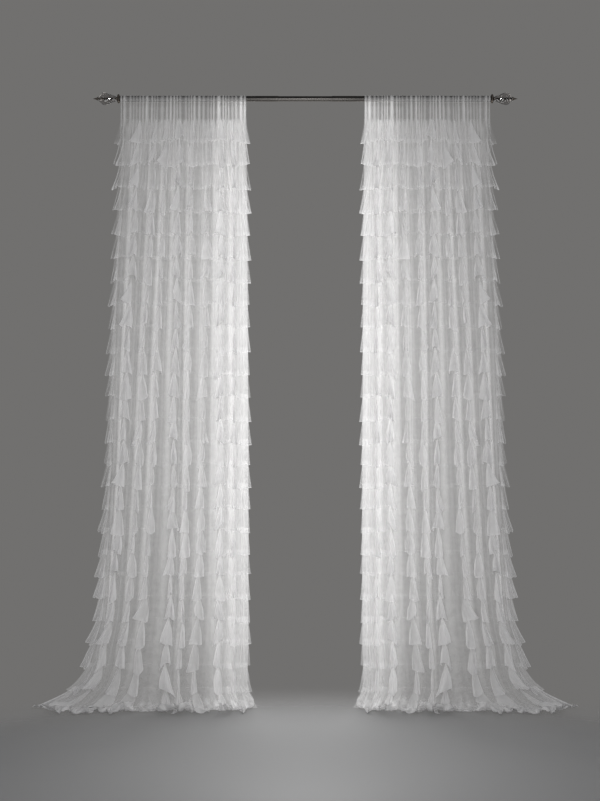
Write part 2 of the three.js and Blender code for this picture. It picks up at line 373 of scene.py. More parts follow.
# Shape of the petals, on round and on sharp folds, and where the tiers near the top and low down differ
PETAL_HALF = {"round": 0.12, "sharp": 0.30}
PETAL_WIDEST = {"round": 3.2, "sharp": 4.8}
PETAL_FLARE = 0.042
SHUT_FLARE = 0.3
SEAM_NARROW = 0.8
WIDEN_POWER = 0.8
BELL_POWER = 1.7
STAND_POWER = 1.1
FLUTE_POWER = 0.9
SEAM_OUT = 0.0018
HEM_OUT = 0.0080
END_PETALS = 3
END_WIDE = 0.25
END_UPRIGHT = 0.2
LEAN_WAVE = 0.25
LEAN_TURNS = 7
TOP_LEAN = 0.5
LEAN_SPREAD = 0.09
LEAF_ROUND = 0.015
LEAF_NARROW = 0.6
LEAF_FROM = 0.55
OUTER_FLARE = 0.017
OUTER_END = 0.09
INNER_FLARE = 0.012
INNER_END = 0.93
END_POWER = 1.2
FIRST_OUTWARD = 0.5
LOW_OUTWARD = 0.4
TOP_TIERS = (2, 8)
LOW_TIERS = (16, 22)

# Fine gathers along a strip: height, waves across the strip, and size and waves of their wander
FINE_GATHERS = ((0.7, 50, 2.0, 9), (0.6, 26, 2.5, 6))
FINE_OUT = 0.0014
FINE_FADE = (0.1, 0.5)

# Lowest tier, longer than the drop to the floor, and its outer petals in the tail
TAIL_PETALS = 4
TAIL_WIDER = 0.5
TAIL_MORE_FLUTES = 3
TAIL_FLUTE_DEPTH = 2.2
FOOT_WIDER = 2.2
FOOT_FLARE = 0.8
FOOT_OUTWARD = 1.2
FOOT_SWAY = 2
FOOT_POINTED = 1.5
FOOT_POINT = 0.025
FOOT_MORE_FLUTES = 2
FOOT_FLUTE_DEPTH = 1.3
FOOT_SHARE = (0, 0.04, 0.08, 0.14, 0.22, 0.33, 0.42, 0.50, 0.60, 0.70, 0.85, 1)
FOOT_LENGTH = (-0.002, 0.012, 0.045, 0.065, 0.07, 0.08, 0.07, 0.08, 0.06, 0.03, 0.02, 0.012)
CRUMPLE = 0.02
CRUMPLE_STRETCH = 1.5
CRUMPLE_DROP = (FLOOR_DROP - 0.03, FLOOR_DROP + 0.015)


def hem_drop(tier):
    return FIRST_HEM_DROP + TIER_PITCH * (tier - 1) + np.interp(tier, HEM_TIERS, HEM_SHIFT)


def seam_drop(tier):
    return HEADING_DROP if tier == 1 else hem_drop(tier - 1) - TIER_OVERLAP


def row_shares(tier):
    return np.linspace(0, 1, FOOT_ROWS if tier == TIERS else RUFFLE_ROWS)


def ruffle_points(tier):
    """Grid of one ruffle strip, and how full its cloth looks at each point."""
    rng = np.random.default_rng(TIER_SEED + tier)
    petals = draw_petals(tier, rng)
    strip = strip_columns(petals, rng)
    points = strip_points(tier, petals, strip, rng)
    return points, strip_cover(tier, petals, strip, points, rng)


def petal_edges(rng):
    """Borders of the petals along the fold columns, in troughs and on crests by turns, and their size."""
    edges, strength = [0.0], []
    column = 1.0
    for fold in FOLDS:
        half = PETAL_HALF["round" if fold["round"] else "sharp"]
        edges.append(column - half + rng.uniform(*PETAL_DRAW["border"]))
        strength.append(fold["valley"] * rng.uniform(*PETAL_DRAW["valley"]))
        column += 1 if fold["round"] else 0
        edges.append(column + half + rng.uniform(*PETAL_DRAW["border"]))
        strength.append(fold["petal"] * rng.uniform(*PETAL_DRAW["crest"]))
        column += 2
    edges.append(float(LAST_COLUMN))
    strength.append(FOLDS[-1]["valley"])
    return np.array(edges), np.array(strength)


def draw_petals(tier, rng):
    """Seeded shapes of a tier's petals from the outer to the inner edge, every other one on a crest."""
    foot = tier == TIERS
    edges, strength = petal_edges(rng)
    count = len(edges) - 1
    number = np.arange(count)
    on_crest = number % 2 == 1
    in_tail = number < TAIL_PETALS
    inside = np.minimum(smooth(0, END_PETALS, number), smooth(count - 1, count - 1 - END_PETALS, number))

    def draw(name):
        return rng.uniform(*PETAL_DRAW[name], count)

    rounded = np.array([fold["round"] > 0 for fold in FOLDS])[np.minimum(number // 2, len(FOLDS) - 1)]
    widest = np.where(rounded, PETAL_WIDEST["round"], PETAL_WIDEST["sharp"])
    widest = widest * np.where(in_tail, TAIL_WIDER, FOOT_WIDER) if foot else widest
    wide = np.where(on_crest, draw("crest_width") * widest, draw("valley_width"))
    length = draw("length") * (FOOT_SWAY if foot else 1)
    point = draw("point") * np.minimum(strength, 1)
    tilt = draw("tilt") * np.minimum(strength, 1) * inside
    lean = LEAN_WAVE * np.sin(np.linspace(0, LEAN_TURNS, count) + rng.uniform(0, 2 * np.pi)) + draw("lean")
    top_lean = TOP_LEAN * (2 * number / (count - 1) - 1) * (1 - smooth(*TOP_TIERS, tier))
    leaf = np.random.default_rng(LEAF_SEED + tier).uniform(*PETAL_DRAW["leaf"], count).clip(0)
    flutes = rng.integers(*PETAL_DRAW["flutes"], count)
    flute_depth = draw("flute_depth")
    flute_start = rng.random(count)
    opening = np.interp(hem_drop(tier), FOLD_OPENING["drop"], FOLD_OPENING["share"])
    flare = PETAL_FLARE * strength * (SHUT_FLARE + (1 - SHUT_FLARE) * opening)
    if foot:
        flare = flare * FOOT_FLARE
        point = point * FOOT_POINTED + np.where(on_crest, FOOT_POINT, 0) * inside
        flutes = flutes + np.where(on_crest, FOOT_MORE_FLUTES, 0) + np.where(in_tail, TAIL_MORE_FLUTES, 0)
        flute_depth = flute_depth * np.where(in_tail, TAIL_FLUTE_DEPTH, FOOT_FLUTE_DEPTH)
    return SimpleNamespace(
        count=count, edges=edges, middles=(edges[:-1] + edges[1:]) / 2, flare=flare, point=point, tilt=tilt,
        wide=wide * (END_WIDE + (1 - END_WIDE) * inside), length=length, leaf=leaf * inside * (not foot),
        lean=lean * (END_UPRIGHT + (1 - END_UPRIGHT) * inside) + top_lean,
        flutes=flutes, flute_depth=flute_depth, flute_start=flute_start,
    )


def wavy(share, waves, wander, wander_waves, rng):
    """An uneven wave across a strip, from -1 to 1."""
    phase = 2 * np.pi * (waves * share + rng.random())
    return np.sin(phase + wander * np.sin(2 * np.pi * (wander_waves * share + rng.random())))


def strip_columns(petals, rng):
    """Places across a strip: the petal, the share of its width, the fold column and the waves there."""
    petal = np.append(np.repeat(np.arange(petals.count), PETAL_STEPS), petals.count - 1)
    turn = np.append(np.tile(np.arange(PETAL_STEPS) / PETAL_STEPS, petals.count), 1.0)
    column = petals.edges[petal] + (petals.edges[petal + 1] - petals.edges[petal]) * turn
    share = top_share(column)
    bell = 0.5 - 0.5 * np.cos(2 * np.pi * turn)
    wave = np.cos(2 * np.pi * (petals.flutes[petal] * turn + petals.flute_start[petal]))
    return SimpleNamespace(
        petal=petal, turn=turn, column=column, share=share, bell=bell, wave=wave,
        flute=bell * petals.flute_depth[petal] * wave, across=np.sin(2 * np.pi * turn),
        fine=sum(height * wavy(share, *gather, rng) for height, *gather in FINE_GATHERS),
    )


def end_flare(tier, share, rng):
    """How far the outer and the inner end of a strip stand out sideways at its hem."""
    outward = 1 + FIRST_OUTWARD * (tier == 1) + LOW_OUTWARD * smooth(*LOW_TIERS, tier)
    outward = FOOT_OUTWARD if tier == TIERS else outward
    outer = OUTER_FLARE * outward * rng.uniform(*PETAL_DRAW["end_flare"]) * smooth(OUTER_END, 0, share)
    return INNER_FLARE * rng.uniform(*PETAL_DRAW["end_flare"]) * smooth(INNER_END, 1, share) - outer


def strip_points(tier, petals, strip, rng):
    """Rows of points from a strip's seam down to its hem, and the turned-back edge behind it."""
    foot = tier == TIERS
    petal = strip.petal
    flare, leaf = petals.flare[petal], petals.leaf[petal]

    def eased(values):
        """Petal values, eased from one petal's middle to the next so that the hem has no steps."""
        return np.interp(strip.column, petals.middles, values)

    seam = seam_drop(tier)
    hem = FLOOR_DROP + np.interp(strip.share, FOOT_SHARE, FOOT_LENGTH) if foot else hem_drop(tier)
    length = hem - seam + HEM_EASE + eased(petals.length)
    fall = length if foot else np.sqrt(np.maximum(length ** 2 - (flare * strip.bell) ** 2, 0))
    spread = 1 + outline("lean", np.minimum(hem, FLOOR_DROP)) / LEAN_SPREAD
    ends = end_flare(tier, strip.share, rng)
    rows = []
    for along in row_shares(tier):
        drop = seam + (hem - seam) * along
        down = np.minimum((drop - seam) / (TIER_PITCH + TIER_OVERLAP), 1)
        level = np.minimum(drop, FLOOR_DROP)
        width = panel_x(petals.edges[petal + 1], level) - panel_x(petals.edges[petal], level)
        stand = strip.bell ** (BELL_POWER - down) * down ** STAND_POWER + strip.flute * down ** FLUTE_POWER
        out = SEAM_OUT + HEM_OUT * down + flare * spread * stand
        out = out + FINE_OUT * strip.fine * (1 - smooth(*FINE_FADE, down))
        taper = 1 - LEAF_NARROW * leaf * smooth(LEAF_FROM, 1, down)
        wider = -SEAM_NARROW + (SEAM_NARROW + petals.wide[petal] * taper) * down ** WIDEN_POWER
        curl = wider * width * strip.across / (2 * np.pi)
        x = panel_x(strip.column, level) - curl + eased(petals.lean) * out * down + ends * down ** END_POWER
        y = panel_y(strip.column, level) - out
        if foot:
            rough = creases(x, CRUMPLE_STRETCH * drop) - CREASE_MIDDLE
            y = y - CRUMPLE * rough * smooth(*CRUMPLE_DROP, drop)
        z = -seam - fall * along
        z = z + petals.tilt[petal] * strip.across * down ** 2 - petals.point[petal] * strip.bell * down ** 2
        z = z + LEAF_ROUND * leaf * strip.across ** 2 * down ** 3
        rows.append(np.stack([x, y, z], axis=-1))
    if foot:
        rows = fallen(np.array(rows), strip.share)
    return np.array(rows + [turned_hem(rows)])


def turned_hem(rows):
    """The last row of a strip, folded back behind it."""
    down = rows[-1] - rows[-2]
    down = down / np.linalg.norm(down, axis=1, keepdims=True)
    front = np.cross(down, np.gradient(rows[-1], axis=0))
    front = front / np.linalg.norm(front, axis=1, keepdims=True)
    return rows[-1] - HEM_TURN * down - HEM_GAP * front


# How full a strip's cloth looks: its petals, its fine gathers, its hem, and the first and the lowest tier,
# with painted light and shade at the hems and in the foot's creases
EVEN_TIERS = (1, 5)
EVEN_COVER = 0.36
FULLER_TIERS = (17, TIERS)
FULLER = 0.3
OUTER_PETALS = (4, 0)
OUTER_TOP_THINNER = 0.45
OUTER_LOW_FULLER = 0.5
INNER_PETALS = (12, 18)
INNER_TOP_FULLER = 0.6
WEDGE = 0.26
WEDGE_EASE = 0.12
VALLEY_HEM = 0.1
VALLEY_HEM_FROM = 0.85
FINE_COVER = 0.10
FINE_TOP_COVER = 0.38
FINE_TIERS = (3, 9)
FINE_THINNER = 0.45
# Upper tiers: a fuller hem, partly for its turned double layer and partly painted light, and thinner cover
# just below each seam as a painted shadow of the hem above
HEM_LIGHT_AND_SHADOW_TIERS = (5, 10)
HEM_LIGHT_AND_SHADOW = 0.3
HEM_LIGHT_FROM = 0.8
HEM_SHADOW_TO = (0.15, 0.5)
FIRST_COVER = {"gather": 1.6, "between": -0.6, "to": 0.1, "outer": 0.35, "within": 0.6}
# Painted light on the ridges and painted shade in the creases of the cloth on the floor
FOOT_CREASE_SHADING = {"crease": 1.8, "even": -0.52, "scale": 1.6, "from": (0.35, 0.6)}
FOOT_HEM_COVER = {"fuller": 0.35, "from": 0.75}
FOOT_VALLEY_COVER = {"even": 0.3, "flute": 0.3, "outside": (0.02, 0.14), "from": (0, 0.5)}
TAIL_TIP_COVER = {"fuller": 0.8, "within": 0.06}


def petal_cover(tier, rng):
    """How full each petal looks: close on the crests, and thin in the troughs below the first few tiers,
    for their fewer layers and as painted shade.
    """
    evenly = 1 - smooth(*EVEN_TIERS, tier)
    fuller = 1 + FULLER * smooth(*FULLER_TIERS, tier)
    # Thin trough cover: fewer layers of cloth, and painted shade in the troughs
    troughs = [fold["thin"] + (EVEN_COVER - fold["thin"]) * evenly for fold in FOLDS]
    cover = [troughs[0] * rng.uniform(*PETAL_DRAW["valley_cover"])]
    for fold, trough in zip(FOLDS, troughs):
        cover.append(fold["full"] * fuller * rng.uniform(*PETAL_DRAW["crest_cover"]))
        cover.append(trough * rng.uniform(*PETAL_DRAW["valley_cover"]))
    number = np.arange(len(cover))
    outer, inner = smooth(*OUTER_PETALS, number), smooth(*INNER_PETALS, number)
    top = 1 - smooth(*TOP_TIERS, tier)
    cover = np.array(cover) * (1 - OUTER_TOP_THINNER * top * outer) * (1 + INNER_TOP_FULLER * top * inner)
    return cover + OUTER_LOW_FULLER * smooth(*LOW_TIERS, tier) * outer


def strip_cover(tier, petals, strip, points, rng):
    """Cover over a strip: close in a wedge down each petal on a crest, and thinner beside it."""
    cover = petal_cover(tier, rng)
    down = np.append(row_shares(tier), 1)[:, None]
    beside = np.interp(strip.column, petals.middles[::2], cover[::2])
    beside = beside - VALLEY_HEM * smooth(VALLEY_HEM_FROM, 1, down)
    narrow = WEDGE * (1 - down) ** WIDEN_POWER
    to_border = np.minimum(strip.turn, 1 - strip.turn)
    wedge = np.where(strip.petal % 2 == 1, smooth(narrow, narrow + WEDGE_EASE, to_border), 0)
    fine = FINE_COVER + FINE_TOP_COVER * (1 - smooth(*FINE_TIERS, tier))
    full = beside + (cover[strip.petal] - beside) * wedge + fine * strip.fine * (1 - FINE_THINNER * down)
    clear = HEM_LIGHT_AND_SHADOW * (1 - smooth(*HEM_LIGHT_AND_SHADOW_TIERS, tier))
    # Fuller hem: partly its turned double layer, partly painted light
    full = full + clear * smooth(HEM_LIGHT_FROM, 1, down)
    if tier == 1:
        return first_cover(full, strip, down)
    # Painted shadow of the hem above, as thinner cover just below the seam
    full = full - clear * (1 - smooth(*HEM_SHADOW_TO, down))
    return foot_cover(full, strip, down, points) if tier == TIERS else full


def first_cover(full, strip, down):
    """The first tier carries the heading's gathers on for a little, and is thin towards its outer edge."""
    gather = gathers(strip.column, GATHER_COUNT, np.random.default_rng(SEED))
    heading = FIRST_COVER["gather"] * gather + FIRST_COVER["between"]
    full = full + (heading - full) * (1 - smooth(0, FIRST_COVER["to"], down))
    return full - FIRST_COVER["outer"] * smooth(FIRST_COVER["within"], 0, strip.share)


def foot_cover(full, strip, down, points):
    """The lowest tier has painted light on its ridges and painted shade in its creases where it is
    crumpled, and is fuller at its hem, valleys and tail tip.
    """
    x, y, z = np.moveaxis(points, -1, 0)
    rough = creases(FOOT_CREASE_SHADING["scale"] * x, FOOT_CREASE_SHADING["scale"] * (y + z))
    # Painted light on the crease ridges and painted shade in the creases, as cover that follows them
    full = full + (FOOT_CREASE_SHADING["crease"] * rough + FOOT_CREASE_SHADING["even"]) * smooth(*FOOT_CREASE_SHADING["from"], down)
    full = full + FOOT_HEM_COVER["fuller"] * smooth(FOOT_HEM_COVER["from"], 1, down)
    valley = FOOT_VALLEY_COVER["even"] + FOOT_VALLEY_COVER["flute"] * strip.wave
    valley = np.where(strip.petal % 2 == 0, valley, 0) * np.sqrt(strip.bell)
    valley = valley * smooth(*FOOT_VALLEY_COVER["outside"], strip.share)
    full = full + valley * smooth(*FOOT_VALLEY_COVER["from"], down)
    return full + TAIL_TIP_COVER["fuller"] * smooth(TAIL_TIP_COVER["within"], 0, strip.share)


# Cloth on the floor: shortest and longest pitch and height of its creases, and how it bends and lies
CREASES = ((0.05, 0.12, 0.24), (0.025, 0.05, 0.07))
CREASE_LAYERS = 5
CREASE_TURN = 1.0
CREASE_PHASE = 6.28
CREASE_MIDDLE = 0.5
FLOOR_SKIN = 0.0012
BEND = 0.008
LAID_SIDEWAYS = 0.10
LAID_INWARDS = 1.8
LAID_FORWARD = 0.35
LAID_END = 0.15


def creases(x, y):
    """Sharp, uneven creases of cloth that lies on the floor, from 0 to about 1."""
    rng = np.random.default_rng(CREASE_SEED)
    total = 0
    for shortest, longest, height in CREASES:
        for _ in range(CREASE_LAYERS):
            angle, pitch = rng.uniform(-CREASE_TURN, CREASE_TURN), rng.uniform(shortest, longest)
            along = x * np.cos(angle) + y * np.sin(angle)
            wave = np.sin(np.pi * along / pitch + rng.uniform(0, CREASE_PHASE))
            total = total + height * (1 - np.abs(wave))
    return total


def settle(points, share):
    """Cloth that would hang below the floor bends and lies on it instead."""
    level = -FLOOR_DROP + FLOOR_SKIN
    over = BEND * np.logaddexp(0, (points[:, 2] - level) / BEND)
    under = over - (points[:, 2] - level)
    points[:, 0] -= LAID_SIDEWAYS * under * (1 - LAID_INWARDS * share)
    points[:, 1] -= LAID_FORWARD * under * (LAID_END + (1 - LAID_END) * foot_middle(share))
    points[:, 2] = level + over
    return points


# Fall of the lowest tier onto the floor
FALL_FRAMES = 60
RISE_FRAMES = 40
FREE_SHARE = (0, 0.05, 0.12, 0.18)
FREE_DROP = (2.48, 2.45, 2.415, 2.405)
FREE_EASE = 0.035
FREE_ON_FLOOR = (-FLOOR_DROP - 0.002, -FLOOR_DROP + 0.006)
CLOTH_FALL = {
    "quality": 6, "mass": 0.004, "air_damping": 1.0, "pin_stiffness": 1.0,
    "tension_stiffness": 15, "compression_stiffness": 15, "shear_stiffness": 4, "bending_stiffness": 0.04,
    "tension_damping": 5, "compression_damping": 5, "shear_damping": 3, "bending_damping": 0.2,
}
CLOTH_GAP = 0.0015
RISING_FLOOR = ((-2, -1, 0), (0.5, -1, 0), (0.5, 1, 0), (-2, 1, 0))
RISE_FROM_BELOW = 0.01
RISE_TO_BELOW = 0.001
FLOOR_TOUCH = {"thickness_outer": 0.002, "thickness_inner": 0.08, "cloth_friction": 20}
SOFTENED = 0.5
CREASED = 0.012
CREASED_SCALE = 2
FOOT_REACH = 0.125
FOOT_EASE = 0.02


def fallen(points, share):
    """Rows of a hanging strip after a floor has risen under it and folded it up, softened and creased."""
    free_from = -np.interp(share, FREE_SHARE, FREE_DROP)
    held = smooth(free_from, free_from + FREE_EASE, points[:, :, 2])
    held = held * smooth(*FREE_ON_FLOOR, points[:, :, 2])
    place = folded_up(points, held)
    padded = np.pad(place, ((1, 1), (1, 1), (0, 0)), "edge")
    around = (padded[:-2, 1:-1] + padded[2:, 1:-1] + padded[1:-1, :-2] + padded[1:-1, 2:]) / 4
    place += SOFTENED * (1 - held)[:, :, None] * (around - place)
    x, y, z = np.moveaxis(place, -1, 0)
    rough = creases(CREASED_SCALE * x, CREASED_SCALE * (y + z)) - CREASE_MIDDLE
    y -= CREASED * rough * (1 - held)
    past = np.maximum(-y - FOOT_REACH, 0)
    y += past - FOOT_EASE * np.tanh(past / FOOT_EASE)
    z[:] = np.maximum(z, -FLOOR_DROP + FLOOR_SKIN)
    return list(place)


def folded_up(points, held):
    """Blender's cloth simulation of a strip that hangs by its held points while the floor rises."""
    strip = cloth_piece("falling_strip", points, np.zeros(held.shape), False)
    group = strip.vertex_groups.new(name="held")
    for number, weight in enumerate(held.ravel().tolist()):
        group.add([number], weight, "REPLACE")
    cloth = strip.modifiers.new("fall", "CLOTH")
    for name, value in CLOTH_FALL.items():
        setattr(cloth.settings, name, value)
    cloth.settings.vertex_group_mass = "held"
    cloth.point_cache.frame_end = FALL_FRAMES
    cloth.collision_settings.distance_min = CLOTH_GAP
    mesh = bpy.data.meshes.new("rising_floor")
    mesh.from_pydata(RISING_FLOOR, [], [(0, 1, 2, 3)])
    floor = new_piece("rising_floor", mesh)
    floor.modifiers.new("floor", "COLLISION")
    for name, value in FLOOR_TOUCH.items():
        setattr(floor.collision, name, value)
    start, end = points[:, :, 2].min() - RISE_FROM_BELOW, -FLOOR_DROP - RISE_TO_BELOW
    for number in range(1, FALL_FRAMES + 1):
        floor.location.z = start + (end - start) * smooth(1, RISE_FRAMES, number)
        bpy.context.scene.frame_set(number)
    place = np.empty(points.size, np.float32)
    strip.evaluated_get(bpy.context.evaluated_depsgraph_get()).data.vertices.foreach_get("co", place)
    for piece in (strip, floor):
        data = piece.data
        bpy.data.objects.remove(piece)
        bpy.data.meshes.remove(data)
    bpy.context.scene.frame_set(1)
    return place.reshape(points.shape).astype(float)


# Rod and finials, turned about the rod's axis
ROUND_SIDES = 64
SHARP_ANGLE = math.radians(40)
SLEEVE_EDGE = 0.0006
ROD_EDGE = 0.0008
ROD_PROFILE = (
    (ROD_MIDDLE_HALF, ROD_MIDDLE_RADIUS),
    (ROD_MIDDLE_HALF, ROD_RADIUS - SLEEVE_EDGE), (ROD_MIDDLE_HALF + SLEEVE_EDGE, ROD_RADIUS),
    (ROD_HALF - ROD_EDGE, ROD_RADIUS), (ROD_HALF, ROD_RADIUS - ROD_EDGE), (ROD_HALF, 0),
)
SPINDLE_PROFILE = (
    (0.0003, 0), (0.0003, 0.0145), (0.0010, 0.0163), (0.0020, 0.0175), (0.0060, 0.0175),
    (0.0070, 0.0164), (0.0082, 0.0138), (0.0096, 0.0092), (0.0105, 0.0068), (0.0120, 0.0062),
    (0.0132, 0.0066), (0.0140, 0.0062), (0.0140, 0.004), (0.084, 0.004), (0.084, 0.0058),
    (0.0852, 0.0065), (0.087, 0.0068), (0.0886, 0.0063), (0.090, 0.0052), (0.0935, 0.0036),
    (0.098, 0.0025), (0.103, 0.0013), (0.106, 0),
)
GLASS_PROFILE = (
    (0.0143, 0.0095), (0.0185, 0.0112), (0.026, 0.0135), (0.033, 0.0165), (0.040, 0.0195),
    (0.046, 0.0219), (0.052, 0.0238), (0.0575, 0.0247), (0.062, 0.025), (0.0665, 0.0240),
    (0.070, 0.0225), (0.0737, 0.0195), (0.077, 0.016), (0.0805, 0.0122), (0.0837, 0.0086),
)
GLASS_BORE = 0.0043
GLASS_SIDES = 16
FACET_TWIST = 0.5


def turned_piece(name, profile, sides, start=0.0, side=1, twist=0.0, closed=False, smooth_faces=True):
    """A body turned about the rod's axis, with every other ring twisted by a share of a side for facets."""
    points, faces, rings = [], [], []
    for number, (along, radius) in enumerate(profile):
        if radius == 0:
            rings.append([len(points)] * sides)
            points.append((side * (start + along), 0, 0))
            continue
        rings.append(list(range(len(points), len(points) + sides)))
        for step in range(sides):
            angle = 2 * math.pi * (step + twist * (number % 2)) / sides
            points.append((side * (start + along), radius * math.cos(angle), radius * math.sin(angle)))
    if closed:
        rings.append(rings[0])
    for number, (ring, after) in enumerate(zip(rings, rings[1:])):
        for step in range(sides):
            following = (step + 1) % sides
            corners = [ring[step], after[step], after[following], ring[following]]
            if twist and number % 2 == 0:
                halves = [[corners[0], corners[1], corners[3]], [corners[1], corners[2], corners[3]]]
            elif twist:
                halves = [[corners[0], corners[1], corners[2]], [corners[0], corners[2], corners[3]]]
            else:
                halves = [corners]
            faces += [list(dict.fromkeys(half)) for half in halves]
    faces = [face if side < 0 else face[::-1] for face in faces if len(face) > 2]
    mesh = bpy.data.meshes.new(name)
    mesh.from_pydata(points, [], faces)
    mesh.polygons.foreach_set("use_smooth", [smooth_faces] * len(faces))
    mesh.update()
    if smooth_faces:
        mesh.set_sharp_from_angle(angle=SHARP_ANGLE)
    return new_piece(name, mesh)


def make_rod(metal, finial_metal, glass):
    profile = [(-along, radius) for along, radius in reversed(ROD_PROFILE)] + list(ROD_PROFILE)
    rod = turned_piece("curtain_rod", profile, ROUND_SIDES)
    dress(rod, metal, "rod_metal", "rod")
    for word, side in (("left", -1), ("right", 1)):
        spindle = turned_piece(f"finial_metal_{word}", SPINDLE_PROFILE, ROUND_SIDES, ROD_HALF, side)
        dress(spindle, finial_metal, "finial_metal", f"finial_{word}_spindle")
        bore = [(along, GLASS_BORE) for along, _ in (GLASS_PROFILE[-1], GLASS_PROFILE[0])]
        drop = turned_piece(
            f"finial_drop_{word}", list(GLASS_PROFILE) + bore, GLASS_SIDES, ROD_HALF, side,
            twist=FACET_TWIST, closed=True, smooth_faces=False,
        )
        dress(drop, glass, "finial_glass", f"finial_{word}_glass")


# Stitches along the seams
STITCH_PITCH = 0.0042
STITCH_LENGTH = 0.0024
THREAD = 0.0003


def stitch_nodes():
    """Geometry nodes that lay one small stitch at each step along a drawn seam."""
    tree = bpy.data.node_groups.new("seam_stitches", "GeometryNodeTree")
    tree.interface.new_socket("Seam", in_out="INPUT", socket_type="NodeSocketGeometry")
    for name, value in (("Pitch", STITCH_PITCH), ("Length", STITCH_LENGTH), ("Thread", THREAD)):
        tree.interface.new_socket(name, in_out="INPUT", socket_type="NodeSocketFloat").default_value = value
    tree.interface.new_socket("Thread material", in_out="INPUT", socket_type="NodeSocketMaterial")
    tree.interface.new_socket("Stitches", in_out="OUTPUT", socket_type="NodeSocketGeometry")
    start = node(tree, "NodeGroupInput")
    curve = node(tree, "GeometryNodeMeshToCurve")
    spots = node(tree, "GeometryNodeCurveToPoints", mode="LENGTH")
    size = node(tree, "ShaderNodeCombineXYZ")
    stitch = node(tree, "GeometryNodeMeshCube")
    place = node(tree, "GeometryNodeInstanceOnPoints")
    real = node(tree, "GeometryNodeRealizeInstances")
    paint = node(tree, "GeometryNodeSetMaterial")
    end = node(tree, "NodeGroupOutput")
    join(tree, start.outputs["Seam"], curve.inputs["Mesh"])
    join(tree, curve.outputs["Curve"], spots.inputs["Curve"])
    join(tree, start.outputs["Pitch"], spots.inputs["Length"])
    join(tree, start.outputs["Thread"], size.inputs["X"], size.inputs["Y"])
    join(tree, start.outputs["Length"], size.inputs["Z"])
    join(tree, size.outputs["Vector"], stitch.inputs["Size"])
    join(tree, spots.outputs["Points"], place.inputs["Points"])
    join(tree, spots.outputs["Rotation"], place.inputs["Rotation"])
    join(tree, stitch.outputs["Mesh"], place.inputs["Instance"])
    join(tree, place.outputs["Instances"], real.inputs["Geometry"])
    join(tree, real.outputs["Geometry"], paint.inputs["Geometry"])
    join(tree, start.outputs["Thread material"], paint.inputs["Material"])
    join(tree, paint.outputs["Geometry"], end.inputs["Stitches"])
    return tree


def stitched(name, lines, tree, material, mirrored):
    """Stitches along several seam lines, as one piece."""
    points, edges = [], []
    for line in lines:
        first = len(points)
        points += [(-x if mirrored else x, y - THREAD, z) for x, y, z in line.tolist()]
        edges += [(n, n + 1) for n in range(first, len(points) - 1)]
    drawn = bpy.data.meshes.new(name + "_line")
    drawn.from_pydata(points, edges, [])
    guide = new_piece(name + "_guide", drawn)
    modifier = guide.modifiers.new("stitches", "NODES")
    modifier.node_group = tree
    for item in tree.interface.items_tree:
        if item.in_out == "INPUT" and item.name == "Thread material":
            modifier[item.identifier] = material
    bpy.context.view_layer.update()
    evaluated = guide.evaluated_get(bpy.context.evaluated_depsgraph_get())
    mesh = bpy.data.meshes.new_from_object(evaluated)
    guide.modifiers.remove(modifier)
    bpy.data.objects.remove(guide)
    bpy.data.meshes.remove(drawn)
    mesh.name = name
    return new_piece(name, mesh)


# Nodes, by their kind, with the values of their sockets and their settings
def node(tree, kind, values=None, **settings):
    made = tree.nodes.new(kind)
    for name, value in settings.items():
        setattr(made, name, value)
    for name, value in (values or {}).items():
        made.inputs[name].default_value = value
    return made


def join(tree, source, *targets):
    for target in targets:
        tree.links.new(source, target)


def maths(tree, operation, *values):
    made = node(tree, "ShaderNodeMath", operation=operation)
    for socket, value in zip(made.inputs, values):
        if isinstance(value, (int, float)):
            socket.default_value = value
        else:
            join(tree, value, socket)
    return made.outputs[0]


def mixed(tree, share, first, second):
    """Two shaders mixed by a share, which is a number or comes from a node."""
    mix = node(tree, "ShaderNodeMixShader")
    if isinstance(share, float):
        mix.inputs[0].default_value = share
    else:
        join(tree, share, mix.inputs[0])
    join(tree, first, mix.inputs[1])
    join(tree, second, mix.inputs[2])
    return mix.outputs[0]


def group_with(name, inputs, outputs):
    """A shader node group with the named values in and out."""
    tree = bpy.data.node_groups.new(name, "ShaderNodeTree")
    for title, kind in inputs:
        tree.interface.new_socket(title, in_out="INPUT", socket_type=kind)
    for title in outputs:
        tree.interface.new_socket(title, in_out="OUTPUT", socket_type="NodeSocketFloat")
    return tree, node(tree, "NodeGroupInput"), node(tree, "NodeGroupOutput")


# Materials
def weave_group():
    """Plain weave of fine crepe threads from flat cloth coordinates: cover, height and slubs."""
    inputs = (("Flat", "NodeSocketVector"), ("Thread pitch", "NodeSocketFloat"))
    tree, start, end = group_with("plain_weave", inputs, ("Cover", "Height", "Slub"))
    split = node(tree, "ShaderNodeSeparateXYZ")
    join(tree, start.outputs["Flat"], split.inputs[0])
    threads = []
    for axis in (0, 1):
        turns = maths(tree, "DIVIDE", split.outputs[axis], start.outputs["Thread pitch"])
        wave = maths(tree, "SINE", maths(tree, "MULTIPLY", turns, math.pi))
        threads.append(maths(tree, "ABSOLUTE", wave))
    join(tree, maths(tree, "MAXIMUM", *threads), end.inputs["Cover"])
    join(tree, maths(tree, "MULTIPLY", *threads), end.inputs["Height"])
    slub = node(tree, "ShaderNodeTexNoise", {"Scale": 45, "Detail": 4})
    join(tree, start.outputs["Flat"], slub.inputs["Vector"])
    join(tree, slub.outputs["Fac"], end.inputs["Slub"])
    return tree


def blank_material(name):
    material = bpy.data.materials.new(name)
    material.use_nodes = True
    tree = material.node_tree
    tree.nodes.clear()
    return material, tree, node(tree, "ShaderNodeOutputMaterial")


# Sheer cloth: pitch of its threads, spread of its slubs and gaps, and how it closes up when seen edge on
THREAD_PITCH = 0.0005
SLUB_SPREAD = 0.18
GAP_SPREAD = 0.12
GAP_WIDEST = 0.10
EDGE_ON_LIMIT = 0.2
GLOW_SHARE = 0.45


